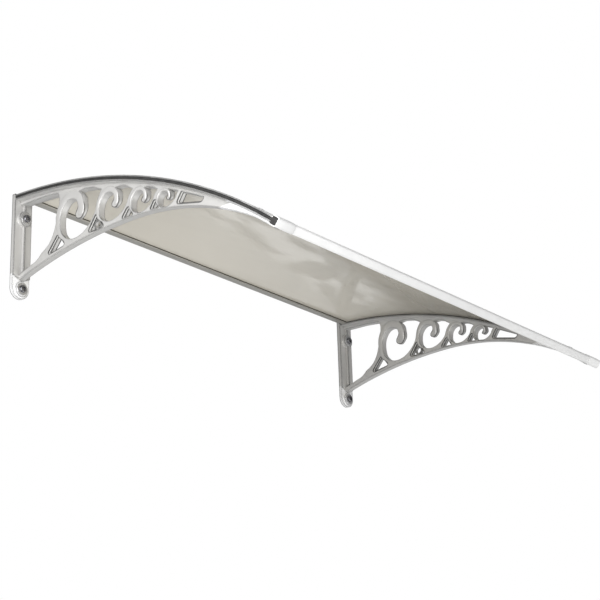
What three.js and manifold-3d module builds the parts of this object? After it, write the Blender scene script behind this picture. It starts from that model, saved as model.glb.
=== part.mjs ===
// Door canopy: a bowed clear sheet carried on two cast scroll brackets, with a rail along the
// wall and a rail along the front edge.
// Millimetres, +Z up. The wall is the plane y = 0 and the canopy reaches out toward -Y.
// X runs along the wall. The origin lies on the back of the wall rail, midway between the
// brackets, level with the tops of their wall plates.
// Most outlines are drawn in the side plane, as (d, z): d is the distance from the wall.

import * as THREE from 'three';
import { mergeVertices } from 'three/addons/utils/BufferGeometryUtils.js';
import Module from 'manifold-3d';

const wasm = await Module();
wasm.setup();

// Driving dimensions

const bracketSpacing = 1154;      // between the middle planes of the two brackets
const clearance = 0.3;            // between pieces that lie against each other

const plateWidth = 49;            // wall plate of a bracket
const plateThickness = 8.4;
const panelThickness = 2.1;       // raised panel on the front of the plate
const panelPoint = 11;            // depth of the point in which the panel ends
const panelBelowArm = 2.1;        // the point's tip, below the arm's root
const upperBoltDrop = 55.9;       // upper bolt, measured down from the top of the plate
const boltBelowArm = 19.7;        // lower bolt, measured down from the arm's root
const footBelowBolt = 21.4;       // and from that bolt down to the end of the rounded foot
const bossDiameter = 35;          // round boss under each wall bolt
const upperBossHeight = 8.5;      // above the front of the raised panel
const lowerBossHeight = 4;        // above the front of the plate's thin foot
const ribThickness = 4.5;         // upright rib down the front of the plate
const ribHeight = 7;
const ribAboveArm = 17.9;         // the rib stops this far above the arm's root

const webThickness = 17;          // scrollwork between the arm and the flange
const archRadius = 1247;          // top of the edge gasket, seen from the side
const archCentreReach = -32.7;    // the arch's centre lies a little behind the wall
const archCrownDrop = 4.5;        // the arch's crown, below the tops of the wall plates
const canopyReach = 748;          // distance from the wall to the sheet's front edge
const flangeThickness = 4;
const rimDepth = 5.5;             // unbroken band of web under the flange
const armApexReach = 338;         // highest point of the arm's lower edge
const armApexDrop = 151.3;
const armRadiusWall = 1150;       // arc of the lower edge on the wall side of the apex
const armRadiusFront = 660;       // and on the front side
const armDepth = 4.5;             // least depth of the arm under the scrolls
const ringDiameter = 22;          // small ring between the first two scrolls
const ringBore = 13;
const cornerRadius = 4;           // rounding of the small openings' corners

const sheetThickness = 3;
const gasketWall = 0.95;          // rubber above and below the sheet's edge
const gasketBack = 2.5;           // rubber outside the sheet's edge
const gasketInset = 1;            // how far the gasket stays back from the flange's inner edge
const stripThickness = 3.2;
const stripInset = 0.8;           // how far the cover strip stays back from the flange's edges

const railDepth = 17;             // front rail, along the sheet
const railAbove = 9.5;            // its reach above and below the middle of the sheet
const railBelow = 9.5;
const railWall = 2.2;
const railNose = 5;               // how far it stands out past the sheet's front edge
const railRounding = 4;
const capLength = 49;             // sleeve at each end of the front rail
const capGrowth = 0.9;            // how much larger than the rail the sleeve is all round
const capSlotWidth = 5;
const capSlotDepth = 4;
const capSlotMargin = 5;
const plugThickness = 2.4;        // dark end plug in the sleeve

const wallRailDepth = 35;         // rail along the wall, outward
const wallRailGrip = 9.5;         // depth of its mouth, which holds the sheet's rear edge
const wallRailLip = 3;
const wallRailBack = 2.5;
const wallRailRise = 8;           // above the tops of the wall plates
const sealWall = 1.3;

const boltShank = 8;
const boltHeadDiameter = 17;
const boltHeadHeight = 4.6;
const boltSocket = 8.5;           // across the flats of the six-sided recess
const boltSocketDepth = 2.6;
const washerDiameter = 28;
const washerThickness = 2;
const screwCount = 4;             // screws along each cover strip
const screwShank = 5;
const screwHeadDiameter = 11;
const screwHeadHeight = 3;
const screwBite = 6;              // thread in the web below the flange
const screwMargin = 60;           // first and last screw, in from the flange's ends

const archSteps = 34;             // facets along the arch
const roundSteps = 20;            // facets round a full circle of the small pieces
const scrollSteps = 52;           // facets round a scroll's opening

// Places worked out from the driving dimensions

const bracketX = bracketSpacing / 2;
const archCentreDrop = archRadius + archCrownDrop;
const plateFront = plateThickness + panelThickness;
const overallHalf = bracketX + plateWidth / 2;

const gasketTop = archRadius;
const sheetTop = gasketTop - gasketWall - clearance;
const sheetMiddle = sheetTop - sheetThickness / 2;
const sheetBottom = sheetTop - sheetThickness;
const gasketBottom = sheetBottom - clearance - gasketWall;
const flangeTop = gasketBottom - clearance;
const flangeBottom = flangeTop - flangeThickness;
const stripBottom = gasketTop + clearance;
const stripTop = stripBottom + stripThickness;

const angleAt = (radius, reach) => Math.asin((reach - archCentreReach) / radius);
const archZ = (radius, reach) => radius * Math.cos(angleAt(radius, reach)) - archCentreDrop;
const frontAngle = angleAt(sheetMiddle, canopyReach);
const stackEnd = frontAngle - (railDepth - railNose + capGrowth + clearance) / sheetMiddle;
const rearAngle = angleAt(sheetMiddle, plateFront + clearance);
const sheetRear = wallRailDepth - wallRailGrip;

// The arm's lower edge: two arcs that meet level at the apex.
function armZ(reach, lift = 0) {
  const radius = reach < armApexReach ? armRadiusWall : armRadiusFront;
  const across = reach - armApexReach;
  return Math.sqrt((radius + lift) ** 2 - across ** 2) - radius - armApexDrop;
}

// A point of the web: its distance from the wall, and its share of the way down from the
// flange to the arm's lower edge.
function between(reach, share) {
  const top = archZ(flangeBottom, reach);
  return [reach, top + share * (armZ(reach) - top)];
}

const armRootDrop = -armZ(plateFront);
const lowerBoltDrop = armRootDrop + boltBelowArm;
const plateHeight = lowerBoltDrop + footBelowBolt;
const panelHeight = armRootDrop + panelBelowArm - panelPoint;
const ribLength = armRootDrop - ribAboveArm;

// Materials

const finish = (color, roughness, metalness, extra = {}) =>
  new THREE.MeshStandardMaterial({ color, roughness, metalness, ...extra });
const castMetal = finish('#cbc8c5', 0.42, 0.35);
const clearSheet = finish('#bdbaac', 0.2, 0, { transparent: true, opacity: 0.6 });
const rubber = finish('#2c2a28', 0.7, 0);
const brightMetal = finish('#bdbcba', 0.35, 0.8);
const whiteMetal = finish('#f1f1f0', 0.4, 0.1);
const boltMetal = finish('#6d7071', 0.35, 0.9);

// Solids: joining and cutting

function solid(geometry) {
  geometry.deleteAttribute('normal');
  geometry.deleteAttribute('uv');
  const merged = mergeVertices(geometry, 1e-4);
  return new wasm.Manifold(new wasm.Mesh({
    numProp: 3,
    vertProperties: new Float32Array(merged.attributes.position.array),
    triVerts: new Uint32Array(merged.index.array),
  }));
}

function geometryOf(manifold) {
  const mesh = manifold.getMesh();
  const geometry = new THREE.BufferGeometry();
  geometry.setAttribute('position', new THREE.BufferAttribute(mesh.vertProperties, 3));
  geometry.setIndex(new THREE.BufferAttribute(mesh.triVerts, 1));
  geometry.computeVertexNormals();
  return geometry;
}

const join = (first, ...others) => others.reduce((sum, next) => sum.add(next), first);
const cut = (first, ...others) => others.reduce((rest, next) => rest.subtract(next), first);

// A side-plane outline (d, z) carried along X, from x = from to x = to.
function alongX(shape, from, to, curveSegments = 12) {
  const geometry = new THREE.ExtrudeGeometry(shape, {
    depth: to - from, bevelEnabled: false, curveSegments,
  });
  const turn = new THREE.Matrix4().makeBasis(
    new THREE.Vector3(0, -1, 0), new THREE.Vector3(0, 0, 1), new THREE.Vector3(-1, 0, 0));
  geometry.applyMatrix4(turn);
  geometry.translate(to, 0, 0);
  return solid(geometry);
}

// An outline drawn on the wall (x, z) carried outward, from distance near to distance far.
function outward(shape, near, far, curveSegments = roundSteps / 2) {
  const geometry = new THREE.ExtrudeGeometry(shape, {
    depth: far - near, bevelEnabled: false, curveSegments,
  });
  geometry.rotateX(Math.PI / 2);
  geometry.translate(0, -near, 0);
  return solid(geometry);
}

// A turned piece whose axis points outward from the wall at height z; profile is (radius, d).
function turnedOutward(profile, z, steps = roundSteps) {
  const geometry = new THREE.LatheGeometry(profile.map(([r, d]) => new THREE.Vector2(r, d)), steps);
  geometry.rotateX(Math.PI);
  geometry.translate(0, 0, z);
  return solid(geometry);
}

// Outlines

// A strip between two radii of the arch, from one angle to another.
function archBand(inner, outer, from, to) {
  const shape = new THREE.Shape();
  const point = (radius, angle) => [
    archCentreReach + radius * Math.sin(angle), radius * Math.cos(angle) - archCentreDrop];
  for (let i = 0; i <= archSteps; i += 1) {
    const [d, z] = point(inner, from + (to - from) * i / archSteps);
    if (i === 0) shape.moveTo(d, z);
    else shape.lineTo(d, z);
  }
  for (let i = archSteps; i >= 0; i -= 1) {
    shape.lineTo(...point(outer, from + (to - from) * i / archSteps));
  }
  return shape;
}

// A closed outline with every corner rounded.
function roundedOutline(corners, radius) {
  const shape = new THREE.Shape();
  const points = corners.map(([d, z]) => new THREE.Vector2(d, z));
  points.forEach((corner, i) => {
    const before = points[(i + points.length - 1) % points.length];
    const after = points[(i + 1) % points.length];
    const trimmed = (other) => {
      const length = Math.min(radius, corner.distanceTo(other) / 2.5);
      return other.clone().sub(corner).setLength(length).add(corner);
    };
    const start = trimmed(before);
    const end = trimmed(after);
    if (i === 0) shape.moveTo(start.x, start.y);
    else shape.lineTo(start.x, start.y);
    shape.quadraticCurveTo(corner.x, corner.y, end.x, end.y);
  });
  return shape;
}

function circle(d, z, diameter, steps = roundSteps) {
  const shape = new THREE.Shape();
  for (let i = 0; i < steps; i += 1) {
    const turn = 2 * Math.PI * i / steps;
    const point = [d + diameter / 2 * Math.cos(turn), z + diameter / 2 * Math.sin(turn)];
    if (i === 0) shape.moveTo(...point);
    else shape.lineTo(...point);
  }
  return shape;
}

// Scrollwork
// Every scroll is one opening: a round bay into which a curling strap reaches, with a fan of
// space over the strap's back. The outline is drawn once, about the bay's middle and in units
// of the scroll's size, and each scroll down the arm is a smaller, more tilted copy of it.

const bayAndStrap = [
  [1.44, 0.76], [1.2, 0.36], [1.06, -0.16], [0.78, -0.56], [0.36, -0.87], [-0.16, -0.99],
  [-0.64, -0.85], [-0.94, -0.5], [-1.03, 0.04], [-0.94, 0.48], [-0.68, 0.79], [-0.36, 0.85],
  [-0.06, 0.7], [0, 0.44], [-0.17, 0.16], [-0.14, -0.05], [0.14, -0.12], [0.36, 0.12],
  [0.39, 0.4], [0.28, 0.76], [0.04, 1.06]];
const fanOverStrap = [
  [0.04, 1.06], [0.3, 1.1], [0.58, 1.13], [0.9, 1.05], [1.18, 0.88], [1.44, 0.76]];

// level: the bay's middle, as a share of the way from the flange down to the arm's lower edge.
// fill: the scroll's size, as a share of that height.
const scrolls = [
  { reach: 190, level: 0.518, fill: 0.396, stretch: 1, tilt: 0 },
  { reach: 296.3, level: 0.523, fill: 0.372, stretch: 1.09, tilt: 8 },
  { reach: 381.3, level: 0.559, fill: 0.38, stretch: 1.12, tilt: 11 },
  { reach: 451, level: 0.548, fill: 0.38, stretch: 1.25, tilt: 9.3 },
];

function scrollOpening({ reach, level, fill, stretch, tilt }) {
  const size = fill * (archZ(flangeBottom, reach) - armZ(reach));
  const middle = new THREE.Vector2(...between(reach, level));
  const turn = THREE.MathUtils.degToRad(-tilt);
  const placed = ([across, up]) => new THREE.Vector2(across * stretch * size, up * size)
    .rotateAround(new THREE.Vector2(0, 0), turn)
    .add(middle);
  const smooth = (points, steps) => new THREE.SplineCurve(points.map(placed)).getPoints(steps);
  const outline = smooth(bayAndStrap, Math.round(scrollSteps * 0.8));
  const fan = smooth(fanOverStrap, Math.round(scrollSteps * 0.2));
  return new THREE.Shape([...outline, ...fan.slice(1, -1)]);
}

// The large opening next to the wall plate.
function wallOpening() {
  const shape = new THREE.Shape();
  shape.moveTo(...between(plateFront, 0.048));
  shape.lineTo(...between(118, 0.02));
  shape.quadraticCurveTo(...between(132, 0.014), ...between(133.5, 0.142));
  shape.splineThru([[131.5, 0.281], [126, 0.447], [117.5, 0.634], [105, 0.764], [91, 0.822]]
    .map(([reach, share]) => new THREE.Vector2(...between(reach, share))));
  shape.lineTo(...between(79, 0.849));
  shape.quadraticCurveTo(...between(68, 0.919), ...between(50, 0.916));
  shape.lineTo(...between(plateFront, 0.936));
  return shape;
}

// The small three-cornered openings under the scrolls, and the long one at the front: each
// corner is a reach and a share, as between() takes them.
const underScrolls = [
  [[133, 0.725], [105, 0.921], [150, 0.915]],
  [[249, 0.651], [228, 0.916], [268, 0.947]],
  [[342, 0.704], [327, 0.947], [354, 0.98]],
  [[418, 0.626], [408, 0.931], [427, 0.956]],
];
const frontOpening = [[495, 0.169], [482, 0.774], [545, 0.574], [551, 0.22]];
const ringCentre = [249.5, 0.836];
const corneredOpening = (corners) =>
  roundedOutline(corners.map((corner) => between(...corner)), cornerRadius);

function web() {
  const outline = new THREE.Shape();
  const tipReach = archCentreReach + flangeBottom * Math.sin(stackEnd) - flangeThickness;
  outline.moveTo(plateThickness / 2, armZ(plateThickness / 2));
  for (let i = 1; i <= archSteps; i += 1) {
    const d = plateThickness / 2 + (tipReach - plateThickness / 2) * i / archSteps;
    outline.lineTo(d, Math.min(armZ(d), archZ(flangeBottom, d) + flangeThickness / 4));
  }
  for (let i = archSteps; i >= 0; i -= 1) {
    const d = plateThickness / 2 + (tipReach - plateThickness / 2) * i / archSteps;
    outline.lineTo(d, archZ(flangeBottom, d) + flangeThickness / 2);
  }
  const half = webThickness / 2;
  const through = (shape) => alongX(shape, -webThickness, webThickness, 6);
  const openings = [
    wallOpening(),
    ...scrolls.map(scrollOpening),
    ...[...underScrolls, frontOpening].map(corneredOpening),
  ];
  const ring = circle(...between(...ringCentre), ringDiameter);
  ring.holes.push(circle(...between(...ringCentre), ringBore));
  return join(
    cut(alongX(outline, -half, half), ...openings.map(through)),
    alongX(ring, -half, half),
    alongX(archBand(flangeBottom - rimDepth, flangeTop - flangeThickness / 2, rearAngle, stackEnd),
      -half, half),
    alongX(armBand(), -half, half));
}

// The unbroken lower edge of the arm, from the plate to where the arm runs into the flange.
function armBand() {
  const from = plateThickness / 2;
  const to = frontOpening[2][0];
  const shape = new THREE.Shape();
  shape.moveTo(from, armZ(from));
  for (let i = 1; i <= archSteps; i += 1) {
    const d = from + (to - from) * i / archSteps;
    shape.lineTo(d, armZ(d));
  }
  for (let i = archSteps; i >= 0; i -= 1) {
    const d = from + (to - from) * i / archSteps;
    shape.lineTo(d, armZ(d, armDepth));
  }
  return shape;
}

// Bracket: wall plate with bosses and rib, scroll web and flange, cast in one piece.

function footOutline(width) {
  const shape = new THREE.Shape();
  const half = width / 2;
  shape.moveTo(-half, 0);
  shape.lineTo(-half, half - plateHeight);
  shape.absarc(0, half - plateHeight, half, Math.PI, 2 * Math.PI, false);
  shape.lineTo(half, 0);
  return shape;
}

function panelOutline() {
  const half = plateWidth / 2;
  const shape = new THREE.Shape();
  shape.moveTo(-half, 0);
  shape.lineTo(-half, -panelHeight);
  shape.lineTo(0, -panelHeight - panelPoint);
  shape.lineTo(half, -panelHeight);
  shape.lineTo(half, 0);
  return shape;
}

// Each wall bolt: its height below the top of the plate, and the face that its washer sits on.
const bolts = {
  upper: { drop: upperBoltDrop, face: plateFront + upperBossHeight },
  lower: { drop: lowerBoltDrop, face: plateThickness + lowerBossHeight },
};

function ribOutline() {
  const shape = new THREE.Shape();
  shape.moveTo(plateThickness, archZ(flangeBottom, plateFront));
  shape.lineTo(plateThickness, -ribLength);
  shape.lineTo(plateFront + ribHeight, -ribLength);
  shape.lineTo(plateFront + ribHeight, archZ(flangeBottom, plateFront));
  return shape;
}

const screwAngles = Array.from({ length: screwCount }, (_, i) => {
  const first = rearAngle + screwMargin / flangeTop;
  const last = stackEnd - screwMargin / flangeTop;
  return first + (last - first) * i / Math.max(screwCount - 1, 1);
});

// A round bar across the arch at one of the screws, between two radii.
function acrossArch(angle, profile, steps = roundSteps / 2) {
  const geometry = new THREE.LatheGeometry(
    profile.map(([r, h]) => new THREE.Vector2(r, h)), steps);
  geometry.rotateX(Math.PI / 2);
  geometry.rotateX(angle);
  geometry.translate(0, -archCentreReach, -archCentreDrop);
  return solid(geometry);
}

const barProfile = (radius, from, to) => [[0, from], [radius, from], [radius, to], [0, to]];
const screwFoot = flangeBottom - screwBite;

const screwHole = (angle, top) => acrossArch(angle,
  barProfile(screwShank / 2 + clearance, screwFoot - clearance, top));

function bracket() {
  const half = plateWidth / 2;
  const bosses = Object.values(bolts).map(({ drop, face }) =>
    outward(circle(0, -drop, bossDiameter), plateThickness / 2, face));
  const holes = Object.values(bolts).map(({ drop, face }) =>
    outward(circle(0, -drop, boltShank + 2 * clearance), -1, face + 1));
  const body = join(
    outward(footOutline(plateWidth), 0, plateThickness),
    outward(panelOutline(), plateThickness / 2, plateFront),
    alongX(ribOutline(), -ribThickness / 2, ribThickness / 2),
    web(),
    alongX(archBand(flangeBottom, flangeTop, angleAt(flangeTop, plateThickness), stackEnd),
      -half, half),
    ...bosses);
  return cut(body, ...holes, ...screwAngles.map((angle) => screwHole(angle, flangeTop + 1)));
}

// Sheet, edge gaskets and cover strips

const sheetHalf = overallHalf - gasketBack - clearance;
const stackRear = rearAngle + clearance / sheetMiddle;

function sheet() {
  const plain = alongX(
    archBand(sheetBottom, sheetTop, angleAt(sheetMiddle, sheetRear), frontAngle), -sheetHalf, sheetHalf);
  const holes = [-bracketX, bracketX].flatMap((x) =>
    screwAngles.map((angle) => screwHole(angle, sheetTop + 1).translate([x, 0, 0])));
  return cut(plain, ...holes);
}

function gasket(side) {
  const span = (inner, outer) => [side * inner, side * outer].sort((a, b) => a - b);
  const outerEdge = plateWidth / 2;
  const block = alongX(archBand(gasketBottom, gasketTop, stackRear, stackEnd),
    ...span(gasketInset - plateWidth / 2, outerEdge));
  const slot = alongX(
    archBand(sheetBottom - clearance, sheetTop + clearance, stackRear - 0.01, stackEnd + 0.01),
    ...span(-plateWidth, outerEdge - gasketBack));
  return cut(block, slot, ...screwAngles.map((angle) => screwHole(angle, gasketTop + 1)));
}

function coverStrip() {
  const half = plateWidth / 2 - stripInset;
  const bar = alongX(archBand(stripBottom, stripTop, stackRear, stackEnd), -half, half);
  return cut(bar, ...screwAngles.map((angle) => screwHole(angle, stripTop + 1)));
}

function stripScrew(angle) {
  const head = stripTop + clearance;
  const radius = screwHeadDiameter / 2;
  return acrossArch(angle, [
    [0, screwFoot], [screwShank / 2 - 0.6, screwFoot], [screwShank / 2, screwFoot + 1],
    [screwShank / 2, head], [radius, head], [radius, head + screwHeadHeight * 0.4],
    [radius * 0.75, head + screwHeadHeight * 0.85], [0, head + screwHeadHeight]]);
}

// Front rail: drawn about the sheet's front edge, along (t) and square to (n) the sheet.

function railOutline(growth) {
  const low = -railBelow - growth;
  const high = railAbove + growth;
  const back = railNose - railDepth - growth;
  const nose = railNose + growth;
  const r = railRounding + growth;
  const shape = new THREE.Shape();
  shape.moveTo(back, low);
  shape.lineTo(nose - r, low);
  shape.absarc(nose - r, low + r, r, -Math.PI / 2, 0, false);
  shape.lineTo(nose, high - r);
  shape.absarc(nose - r, high - r, r, 0, Math.PI / 2, false);
  shape.lineTo(back + r / 2, high);
  shape.absarc(back + r / 2, high - r / 2, r / 2, Math.PI / 2, Math.PI, false);
  return shape;
}

function box2(left, right, low, high) {
  return new THREE.Shape([[left, low], [right, low], [right, high], [left, high]]
    .map(([t, n]) => new THREE.Vector2(t, n)));
}

// A solid drawn in the front edge's own frame, carried along X.
function atFrontEdge(shape, from, to) {
  const reach = archCentreReach + sheetMiddle * Math.sin(frontAngle);
  const drop = archCentreDrop - sheetMiddle * Math.cos(frontAngle);
  const degrees = THREE.MathUtils.radToDeg(frontAngle);
  return alongX(shape, from, to, 5).rotate([degrees, 0, 0]).translate([0, -reach, -drop]);
}

const grip = sheetThickness / 2 + clearance;
const sheetMouth = () => box2(-2 * railDepth, clearance, -grip, grip);
const railEnd = bracketX - plateWidth / 2;

function frontRail() {
  const half = railEnd - clearance;
  const chamber = box2(railNose - railDepth + railWall, railNose - railWall,
    grip + railWall, railAbove - railWall);
  return cut(atFrontEdge(railOutline(0), -half, half),
    atFrontEdge(sheetMouth(), -bracketSpacing, bracketSpacing),
    atFrontEdge(chamber, -bracketSpacing, bracketSpacing));
}

function frontCap(side) {
  const ends = [side * railEnd, side * (railEnd + capLength)].sort((a, b) => a - b);
  const slotMiddle = railNose - railDepth / 2;
  const slot = box2(slotMiddle - capSlotWidth / 2, slotMiddle + capSlotWidth / 2,
    -2 * railBelow, capSlotDepth - railBelow - capGrowth);
  return cut(atFrontEdge(railOutline(capGrowth), ...ends),
    atFrontEdge(sheetMouth(), side > 0 ? 0 : -sheetHalf - clearance, side > 0 ? sheetHalf + clearance : 0),
    atFrontEdge(slot, ends[0] + capSlotMargin, ends[1] - capSlotMargin));
}

function endPlug(side) {
  const inner = railEnd + capLength + clearance;
  const ends = [side * inner, side * (inner + plugThickness)].sort((a, b) => a - b);
  return atFrontEdge(railOutline(0), ...ends);
}

// Rail along the wall, and the rubber seal between it and the sheet

const wallRailHalf = railEnd - 2 * clearance;
const sealRear = sheetRear - clearance - sealWall;
const mouthBack = sealRear - clearance;
const sealBottomZ = archZ(sheetBottom, wallRailDepth) - clearance - sealWall;
const sealTopZ = archZ(sheetTop, sheetRear) + clearance + sealWall;
const lipTopZ = sealBottomZ - clearance;
const coverBottomZ = sealTopZ + clearance;

function wallRail() {
  const outline = [
    [0, coverBottomZ], [mouthBack - wallRailBack, coverBottomZ],
    [mouthBack - wallRailBack, lipTopZ - wallRailLip], [wallRailDepth, lipTopZ - wallRailLip],
    [wallRailDepth, lipTopZ], [mouthBack, lipTopZ], [mouthBack, coverBottomZ],
    [wallRailDepth, coverBottomZ], [wallRailDepth, coverBottomZ + wallRailLip],
    [wallRailBack, coverBottomZ + wallRailLip], [wallRailBack, wallRailRise], [0, wallRailRise]];
  const shape = new THREE.Shape(outline.map(([d, z]) => new THREE.Vector2(d, z)));
  return alongX(shape, -wallRailHalf, wallRailHalf);
}

function wallSeal() {
  const block = alongX(box2(sealRear, wallRailDepth, sealBottomZ, sealTopZ),
    -wallRailHalf, wallRailHalf);
  const slot = alongX(
    archBand(sheetBottom - clearance, sheetTop + clearance,
      angleAt(sheetMiddle, sheetRear - clearance), frontAngle),
    -bracketSpacing, bracketSpacing);
  return cut(block, slot);
}

// Wall bolts and washers

function wallBolt({ drop, face }) {
  const seat = face + washerThickness + 2 * clearance;
  const r = boltHeadDiameter / 2;
  const top = seat + boltHeadHeight;
  const turned = turnedOutward([
    [0, 0], [boltShank / 2, 0], [boltShank / 2, seat], [r, seat], [r, seat + boltHeadHeight * 0.5],
    [r * 0.86, seat + boltHeadHeight * 0.88], [r * 0.6, top], [0, top]], -drop);
  const socket = circle(0, -drop, boltSocket / Math.cos(Math.PI / 6), 6);
  return cut(turned, outward(socket, top - boltSocketDepth, top + 1));
}

function washer({ drop, face }) {
  const inner = boltShank / 2 + clearance;
  const outer = washerDiameter / 2;
  const from = face + clearance;
  const to = from + washerThickness;
  return turnedOutward([
    [inner, from], [outer, from], [outer, to - 0.7], [outer - 0.7, to], [inner, to], [inner, from],
  ], -drop);
}

// Assembly

const canopy = new THREE.Group();

function piece(name, manifold, material, x = 0) {
  const mesh = new THREE.Mesh(geometryOf(manifold), material);
  mesh.name = name;
  mesh.position.x = x;
  canopy.add(mesh);
}

for (const [sideName, side] of [['left', -1], ['right', 1]]) {
  const x = side * bracketX;
  piece(`bracket_${sideName}`, bracket(), castMetal, x);
  piece(`edge_gasket_${sideName}`, gasket(side), rubber, x);
  piece(`cover_strip_${sideName}`, coverStrip(), brightMetal, x);
  piece(`front_rail_cap_${sideName}`, frontCap(side), whiteMetal);
  piece(`rail_end_plug_${sideName}`, endPlug(side), rubber);
  for (const [level, bolt] of Object.entries(bolts)) {
    piece(`wall_bolt_${level}_${sideName}`, wallBolt(bolt), boltMetal, x);
    piece(`washer_${level}_${sideName}`, washer(bolt), brightMetal, x);
  }
  screwAngles.forEach((angle, i) => {
    piece(`strip_screw_${i + 1}_${sideName}`, stripScrew(angle), brightMetal, x);
  });
}
piece('canopy_sheet', sheet(), clearSheet);
piece('front_rail', frontRail(), whiteMetal);
piece('wall_rail', wallRail(), whiteMetal);
piece('wall_rail_seal', wallSeal(), rubber);

export default canopy;
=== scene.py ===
# %% [markdown]
# Door canopy
#
# A bowed, slightly tinted sheet is carried on two cast scroll brackets. A white rail stiffens its
# front edge, another holds it along the wall, and rubber keeps metal and sheet apart. The
# construction comes in as a fixed frame of plain solids. This lesson gives each of them a finer
# surface and a finish of its own, in the same place and at the same size.

import math

import bmesh
import bpy
import numpy as np
from mathutils import Matrix, Vector
from mathutils.geometry import tessellate_polygon


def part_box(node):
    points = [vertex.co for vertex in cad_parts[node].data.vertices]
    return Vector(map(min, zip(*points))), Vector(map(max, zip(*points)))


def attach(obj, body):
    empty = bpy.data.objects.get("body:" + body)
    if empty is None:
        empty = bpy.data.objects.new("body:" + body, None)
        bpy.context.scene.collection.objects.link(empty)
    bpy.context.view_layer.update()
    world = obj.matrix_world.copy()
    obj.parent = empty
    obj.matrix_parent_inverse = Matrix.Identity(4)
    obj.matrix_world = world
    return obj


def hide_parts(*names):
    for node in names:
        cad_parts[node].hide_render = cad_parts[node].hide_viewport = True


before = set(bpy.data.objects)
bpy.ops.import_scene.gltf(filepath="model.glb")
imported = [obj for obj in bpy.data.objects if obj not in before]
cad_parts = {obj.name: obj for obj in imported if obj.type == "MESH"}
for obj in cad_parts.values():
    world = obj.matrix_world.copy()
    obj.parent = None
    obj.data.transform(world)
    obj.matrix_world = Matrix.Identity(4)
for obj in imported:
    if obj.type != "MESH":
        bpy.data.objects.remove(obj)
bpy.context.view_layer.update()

# %% [markdown]
# Sizes
#
# Sizes are in millimetres, as a workshop drawing gives them, and become metres only when a mesh
# is made. The side view is drawn as (d, z): d is the distance from the wall, z the height above
# the tops of the wall plates. The places of the brackets are read from the frame.

# %% Driving sizes
MM = 0.001
left_low, left_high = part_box("bracket_left")
bracket_x = -(left_low.x + left_high.x) / 2 / MM
plate_width = (left_high.x - left_low.x) / MM
plate_height = 240.0
plate_thickness = 8.4
panel_thickness = 2.1
panel_height, panel_point = 190.0, 11.0
plate_front = plate_thickness + panel_thickness

arch_radius = 1247.0
arch_centre = (-32.7, -1251.5)
canopy_reach = 748.0
sheet_thickness = 3.0
clearance = 0.3
gasket_wall = 0.95
flange_thickness = 4.0
strip_thickness = 3.2

gasket_top = arch_radius
sheet_top = gasket_top - gasket_wall - clearance
sheet_middle = sheet_top - sheet_thickness / 2
sheet_bottom = sheet_top - sheet_thickness
gasket_bottom = sheet_bottom - clearance - gasket_wall
flange_top = gasket_bottom - clearance
flange_bottom = flange_top - flange_thickness
strip_bottom = gasket_top + clearance
strip_top = strip_bottom + strip_thickness
sides = (("left", -1), ("right", 1))
print(f"brackets {2 * bracket_x:.1f} mm apart, plates {plate_width:.1f} mm wide")

# %% [markdown]
# The two curves of the side view
#
# Everything above the brackets follows one arch about a single centre. The arm below it is two
# arcs that meet level at the apex, a flat one on the wall side and a tighter one in front. A
# point of the scrollwork is given as its distance from the wall and its share of the way down
# from the flange to the arm's lower edge, so the pattern follows both curves.

# %% Arch and arm
arm_apex = (338.0, -151.3)
arm_radius_wall, arm_radius_front = 1150.0, 660.0


def arch_angle(radius, reach):
    """Angle of the arch from the vertical where it passes a distance from the wall."""
    return np.arcsin((np.asarray(reach, float) - arch_centre[0]) / radius)


def arch_z(radius, reach):
    """Height of an arch of that radius: radius times the cosine of its angle, above the centre."""
    return radius * np.cos(arch_angle(radius, reach)) + arch_centre[1]


def arch_point(radius, angle):
    """(d, z) at an angle from the vertical: the centre plus radius times (sine, cosine)."""
    return np.stack([arch_centre[0] + radius * np.sin(angle),
                     arch_centre[1] + radius * np.cos(angle)], -1)


def arm_z(reach, lift=0.0):
    """Height of the arm's lower edge: a circle through the apex, with its centre straight below."""
    reach = np.asarray(reach, float)
    radius = np.where(reach < arm_apex[0], arm_radius_wall, arm_radius_front)
    return np.sqrt((radius + lift) ** 2 - (reach - arm_apex[0]) ** 2) - radius + arm_apex[1]


def between(points):
    """(d, z) of each (reach, share): the flange's underside plus that share of the web's depth."""
    reach, share = np.asarray(points, float).T
    top = arch_z(flange_bottom, reach)
    return np.stack([reach, top + share * (arm_z(reach) - top)], -1)


front_angle = float(arch_angle(sheet_middle, canopy_reach))
rear_angle = float(arch_angle(sheet_middle, plate_front + clearance))
print(f"the arch runs from {math.degrees(rear_angle):.1f} to {math.degrees(front_angle):.1f} degrees")

# %% [markdown]
# From arrays to a mesh
#
# Every surface below is worked out as whole arrays and handed over in one go. A closed shell
# must face outwards: the signed volume of the shell, summed over its faces as a fan of triangles,
# is positive when it does, and all faces are turned round when it isn't.

# %% Mesh helpers
def grid_faces(rows, columns):
    """Quads between neighbouring rows of a grid whose columns close on themselves."""
    row, column = np.meshgrid(np.arange(rows - 1), np.arange(columns), indexing="ij")
    here = row * columns + column
    beside = row * columns + (column + 1) % columns
    return np.stack([here, here + columns, beside + columns, beside], -1).reshape(-1, 4)


def signed_volume(vertices, faces):
    """Sum over all faces, cut into triangles, of a . (b x c) / 6."""
    total = 0.0
    for face_set in faces:
        corners = vertices[face_set]
        for k in range(1, face_set.shape[1] - 1):
            a, b, c = corners[:, 0], corners[:, k], corners[:, k + 1]
            total += np.einsum("ij,ij->", a, np.cross(b, c)) / 6
    return total


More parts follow.
